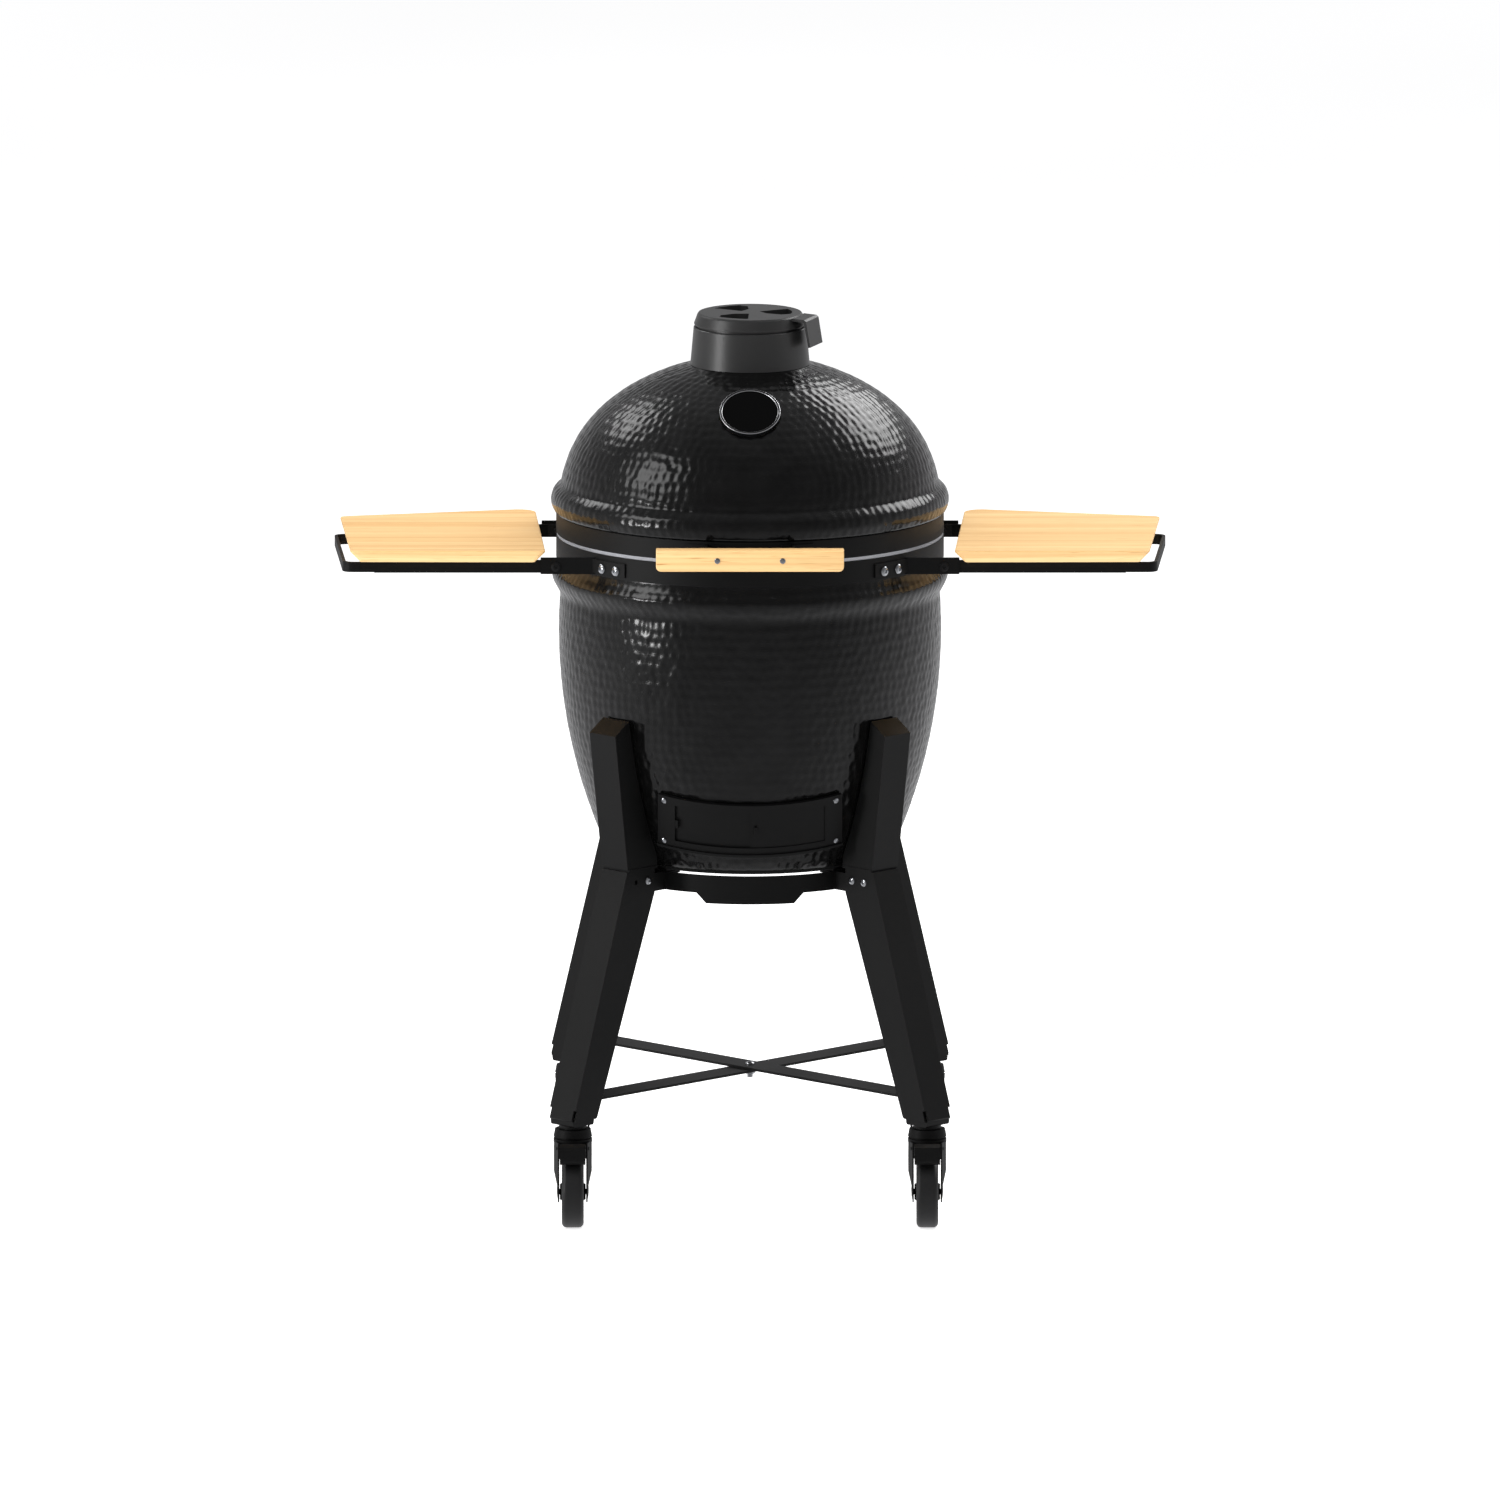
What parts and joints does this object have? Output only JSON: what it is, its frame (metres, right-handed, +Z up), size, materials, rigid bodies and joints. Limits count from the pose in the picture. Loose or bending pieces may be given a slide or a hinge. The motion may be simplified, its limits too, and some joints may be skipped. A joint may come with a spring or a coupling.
{
  "type": "kamado ceramic grill",
  "caption": "Egg-shaped ceramic charcoal grill with hinged lid, rotating chimney cap, draft doors, fold-down wooden side shelves and a four-legged frame on swivel casters.",
  "frame": {"origin": "on the floor, under the vertical axis of the egg, which is the middle of the four casters", "axes": "+Z up, -Y towards the front with the handle and the draft doors, +X to the right of somebody facing the front"},
  "size_m": [1.1426, 0.6546, 1.2255],
  "materials": {
    "black_glaze": "hammered glossy black glaze",
    "firebrick": "unglazed refractory ceramic",
    "cast_iron": "rough cast",
    "stainless_rod": "drawn stainless rod",
    "black_powder_coat": "satin powder coat",
    "grey_felt": "pressed felt",
    "zinc_steel": "bright zinc",
    "spring_steel": "oiled spring wire",
    "anthracite_coat": "satin anthracite coat on cast metal",
    "black_gloss_plastic": "polished black",
    "black_dial": "printed black dial without marks",
    "dark_glass": "flat smoked glass",
    "oiled_wood": "oiled light wood",
    "black_oxide_steel": "black oxide",
    "pad_rubber": "moulded silicone rubber",
    "black_nylon": "moulded satin black",
    "wheel_rubber": "moulded satin tread"
  },
  "bodies": {
    "base": {"base_shell": "black_glaze", "firebox": "firebrick", "fire_ring": "firebrick", "charcoal_grate": "cast_iron", "cooking_grate": "stainless_rod", "lower_band": "black_powder_coat", "base_gasket": "grey_felt", "hinge_base": "black_powder_coat", "hinge_pin": "zinc_steel", "hinge_springs": "spring_steel", "draft_frame": "black_powder_coat", "draft_screws": "zinc_steel", "shelf_brackets_left": "black_powder_coat", "shelf_brackets_right": "black_powder_coat", "shelf_pivots": "black_oxide_steel", "bracket_bolts": "zinc_steel", "leg_front_left": "black_powder_coat", "leg_front_right": "black_powder_coat", "leg_rear_left": "black_powder_coat", "leg_rear_right": "black_powder_coat", "arm_front_left": "black_powder_coat", "arm_front_right": "black_powder_coat", "arm_rear_left": "black_powder_coat", "arm_rear_right": "black_powder_coat", "ring_front": "black_powder_coat", "ring_sides": "black_powder_coat", "foot_pads": "pad_rubber", "frame_bolts": "zinc_steel", "brace_upper": "black_powder_coat", "brace_lower": "black_powder_coat", "caster_stems": "black_oxide_steel"},
    "lid": {"lid_shell": "black_glaze", "upper_band": "black_powder_coat", "lid_gasket": "grey_felt", "hinge_lid": "black_powder_coat", "chimney_body": "anthracite_coat", "cap_pivot": "zinc_steel", "thermometer_bezel": "black_gloss_plastic", "thermometer_dial": "black_dial", "thermometer_glass": "dark_glass", "handle_grip": "oiled_wood", "handle_bracket": "black_powder_coat", "handle_bolts": "zinc_steel"},
    "vent_cap": {"vent_cap": "anthracite_coat"},
    "draft_left": {"draft_door_left": "black_powder_coat"},
    "draft_right": {"draft_door_right": "black_powder_coat"},
    "shelf_left": {"shelf_frame_left": "black_powder_coat", "shelf_board_left": "oiled_wood"},
    "shelf_right": {"shelf_frame_right": "black_powder_coat", "shelf_board_right": "oiled_wood"},
    "caster_front_left": {"fork_front_left": "black_nylon"},
    "roller_front_left": {"wheel_front_left": "wheel_rubber"},
    "caster_front_right": {"fork_front_right": "black_nylon"},
    "roller_front_right": {"wheel_front_right": "wheel_rubber"},
    "caster_rear_left": {"fork_rear_left": "black_nylon"},
    "roller_rear_left": {"wheel_rear_left": "wheel_rubber"},
    "caster_rear_right": {"fork_rear_right": "black_nylon"},
    "roller_rear_right": {"wheel_rear_right": "wheel_rubber"},
    "brake_left": {"pedal_left": "black_nylon"},
    "brake_right": {"pedal_right": "black_nylon"}
  },
  "joints": [
    {"name": "lid_hinge", "type": "hinge", "parent": "base", "child": "lid", "pos_m": [0, 0.3, 0.92], "axis": [-1, 0, 0], "range_deg": [0, 75]},
    {"name": "cap_turn", "type": "hinge", "parent": "lid", "child": "vent_cap", "pos_m": [0, 0, 1.2175], "axis": [0, 0, 1], "range_deg": [-60, 0]},
    {"name": "draft_left_slide", "type": "hinge", "parent": "base", "child": "draft_left", "pos_m": [0, 0, 0.61736], "axis": [0, -0.309, 0.9511], "range_deg": [0, 24]},
    {"name": "draft_right_slide", "type": "hinge", "parent": "base", "child": "draft_right", "pos_m": [0, 0, 0.61736], "axis": [0, -0.309, 0.9511], "range_deg": [-24, 0]},
    {"name": "shelf_left_fold", "type": "hinge", "parent": "base", "child": "shelf_left", "pos_m": [-0.266, 0, 0.898], "axis": [0, -1, 0], "range_deg": [0, 90]},
    {"name": "shelf_right_fold", "type": "hinge", "parent": "base", "child": "shelf_right", "pos_m": [0.266, 0, 0.898], "axis": [0, 1, 0], "range_deg": [0, 90]},
    {"name": "swivel_front_left", "type": "hinge", "parent": "base", "child": "caster_front_left", "pos_m": [-0.243, -0.243, 0.125], "axis": [0, 0, 1], "continuous": true},
    {"name": "roll_front_left", "type": "hinge", "parent": "caster_front_left", "child": "roller_front_left", "pos_m": [-0.243, -0.278, 0.0493], "axis": [1, 0, 0], "continuous": true},
    {"name": "swivel_front_right", "type": "hinge", "parent": "base", "child": "caster_front_right", "pos_m": [0.243, -0.243, 0.125], "axis": [0, 0, 1], "continuous": true},
    {"name": "roll_front_right", "type": "hinge", "parent": "caster_front_right", "child": "roller_front_right", "pos_m": [0.243, -0.278, 0.0493], "axis": [1, 0, 0], "continuous": true},
    {"name": "swivel_rear_left", "type": "hinge", "parent": "base", "child": "caster_rear_left", "pos_m": [-0.243, 0.243, 0.125], "axis": [0, 0, 1], "continuous": true},
    {"name": "roll_rear_left", "type": "hinge", "parent": "caster_rear_left", "child": "roller_rear_left", "pos_m": [-0.243, 0.278, 0.0493], "axis": [1, 0, 0], "continuous": true},
    {"name": "swivel_rear_right", "type": "hinge", "parent": "base", "child": "caster_rear_right", "pos_m": [0.243, 0.243, 0.125], "axis": [0, 0, 1], "continuous": true},
    {"name": "roll_rear_right", "type": "hinge", "parent": "caster_rear_right", "child": "roller_rear_right", "pos_m": [0.243, 0.278, 0.0493], "axis": [1, 0, 0], "continuous": true},
    {"name": "brake_left_press", "type": "hinge", "parent": "caster_front_left", "child": "brake_left", "pos_m": [-0.243, -0.263, 0.1065], "axis": [1, 0, 0], "range_deg": [0, 7]},
    {"name": "brake_right_press", "type": "hinge", "parent": "caster_front_right", "child": "brake_right", "pos_m": [0.243, -0.263, 0.1065], "axis": [1, 0, 0], "range_deg": [0, 7]}
  ]
}
